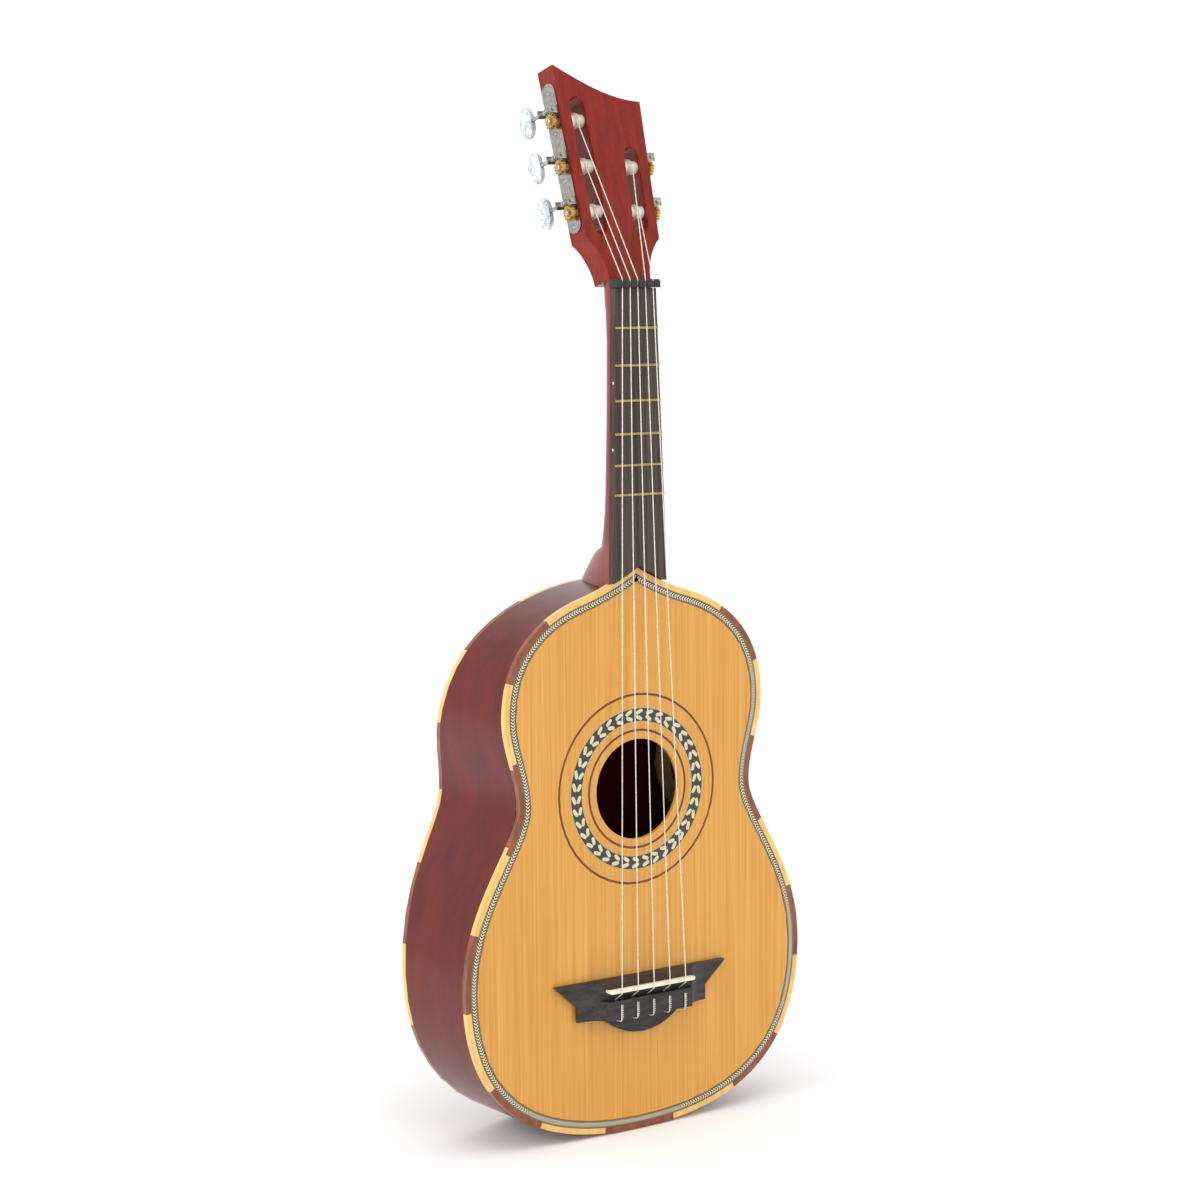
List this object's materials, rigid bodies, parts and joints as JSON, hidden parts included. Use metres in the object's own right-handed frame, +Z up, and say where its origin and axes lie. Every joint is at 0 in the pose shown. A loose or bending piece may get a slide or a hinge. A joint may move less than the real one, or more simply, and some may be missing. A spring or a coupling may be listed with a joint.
{
  "type": "mexican vihuela",
  "caption": "Small guitar with a deep keeled back, slotted headstock with worm tuners, inlaid rosette, tie bridge and nylon strings.",
  "frame": {"origin": "middle of the nut's front edge, on the plane of the soundboard", "axes": "+Z up the neck towards the headstock, -Y the way the soundboard faces, +X to the right seen from the front"},
  "size_m": [0.312, 0.1558, 0.8012],
  "materials": {
    "top_wood": "gloss lacquer",
    "side_wood": "gloss lacquer",
    "neck_wood": "gloss lacquer",
    "pale_wood": "bare",
    "binding_wood": "gloss lacquer",
    "inlay": "lacquered marquetry",
    "ring_wood": "lacquered",
    "dark_wood": "satin",
    "board_wood": "satin",
    "black_plastic": "satin",
    "ivory_plastic": "satin",
    "white_plastic": "satin",
    "pearl_plastic": "pearl",
    "string_nylon": "satin",
    "nickel": "polished",
    "steel": "turned",
    "brass": "turned"
  },
  "bodies": {
    "instrument": {"back_binding": "binding_wood", "back_brace_lower": "pale_wood", "back_brace_upper": "pale_wood", "back_left": "side_wood", "back_lining": "pale_wood", "back_right": "side_wood", "back_spine": "binding_wood", "bridge": "dark_wood", "bridge_patch": "pale_wood", "fingerboard": "board_wood", "fret_1": "nickel", "fret_2": "nickel", "fret_3": "nickel", "fret_4": "nickel", "fret_5": "nickel", "fret_6": "nickel", "lower_harmonic_bar": "pale_wood", "neck": "neck_wood", "neck_block": "pale_wood", "nut": "black_plastic", "rosette_inner_ring": "ring_wood", "rosette_leaf_band": "inlay", "rosette_outer_ring": "ring_wood", "saddle": "ivory_plastic", "side_rib_left": "side_wood", "side_rib_right": "side_wood", "soundboard": "top_wood", "string_1": "string_nylon", "string_2": "string_nylon", "string_3": "string_nylon", "string_4": "string_nylon", "string_5": "string_nylon", "tail_block": "pale_wood", "top_binding": "binding_wood", "top_lining": "pale_wood", "top_purfling": "inlay", "tuner_plate_left": "nickel", "tuner_plate_right": "nickel", "upper_harmonic_bar": "pale_wood"},
    "key_1": {"worm_shaft_1": "steel", "button_1": "pearl_plastic"},
    "winder_1": {"gear_wheel_1": "brass", "roller_1": "white_plastic"},
    "key_2": {"worm_shaft_2": "steel", "button_2": "pearl_plastic"},
    "winder_2": {"gear_wheel_2": "brass", "roller_2": "white_plastic"},
    "key_3": {"worm_shaft_3": "steel", "button_3": "pearl_plastic"},
    "winder_3": {"gear_wheel_3": "brass", "roller_3": "white_plastic"},
    "key_4": {"worm_shaft_4": "steel", "button_4": "pearl_plastic"},
    "winder_4": {"gear_wheel_4": "brass", "roller_4": "white_plastic"},
    "key_5": {"worm_shaft_5": "steel", "button_5": "pearl_plastic"},
    "winder_5": {"gear_wheel_5": "brass", "roller_5": "white_plastic"}
  },
  "joints": [
    {"name": "key_turn_1", "type": "hinge", "parent": "instrument", "child": "key_1", "pos_m": [-0.03964, 0.02859, 0.06308], "axis": [0, 0.9632, -0.2689], "continuous": true},
    {"name": "roller_turn_1", "type": "hinge", "parent": "instrument", "child": "winder_1", "pos_m": [-0.03397, 0.02649, 0.05556], "axis": [-0.9994, -0.0094, -0.0336], "continuous": true},
    {"name": "key_turn_2", "type": "hinge", "parent": "instrument", "child": "key_2", "pos_m": [-0.04087, 0.03799, 0.09677], "axis": [0, 0.9632, -0.2689], "continuous": true},
    {"name": "roller_turn_2", "type": "hinge", "parent": "instrument", "child": "winder_2", "pos_m": [-0.03519, 0.0359, 0.08926], "axis": [-0.9994, -0.0094, -0.0336], "continuous": true},
    {"name": "key_turn_3", "type": "hinge", "parent": "instrument", "child": "key_3", "pos_m": [-0.04209, 0.0474, 0.13046], "axis": [0, 0.9632, -0.2689], "continuous": true},
    {"name": "roller_turn_3", "type": "hinge", "parent": "instrument", "child": "winder_3", "pos_m": [-0.03641, 0.0453, 0.12295], "axis": [-0.9994, -0.0094, -0.0336], "continuous": true},
    {"name": "key_turn_4", "type": "hinge", "parent": "instrument", "child": "key_4", "pos_m": [0.04087, 0.03799, 0.09677], "axis": [0, 0.9632, -0.2689], "continuous": true},
    {"name": "roller_turn_4", "type": "hinge", "parent": "instrument", "child": "winder_4", "pos_m": [0.03519, 0.0359, 0.08926], "axis": [0.9994, -0.0094, -0.0336], "continuous": true},
    {"name": "key_turn_5", "type": "hinge", "parent": "instrument", "child": "key_5", "pos_m": [0.03964, 0.02859, 0.06308], "axis": [0, 0.9632, -0.2689], "continuous": true},
    {"name": "roller_turn_5", "type": "hinge", "parent": "instrument", "child": "winder_5", "pos_m": [0.03397, 0.02649, 0.05556], "axis": [0.9994, -0.0094, -0.0336], "continuous": true}
  ],
  "couplings": [
    {"joint": "roller_turn_1", "follows": "key_turn_1", "ratio": -0.071429},
    {"joint": "roller_turn_2", "follows": "key_turn_2", "ratio": -0.071429},
    {"joint": "roller_turn_3", "follows": "key_turn_3", "ratio": -0.071429},
    {"joint": "roller_turn_4", "follows": "key_turn_4", "ratio": -0.071429},
    {"joint": "roller_turn_5", "follows": "key_turn_5", "ratio": -0.071429}
  ]
}
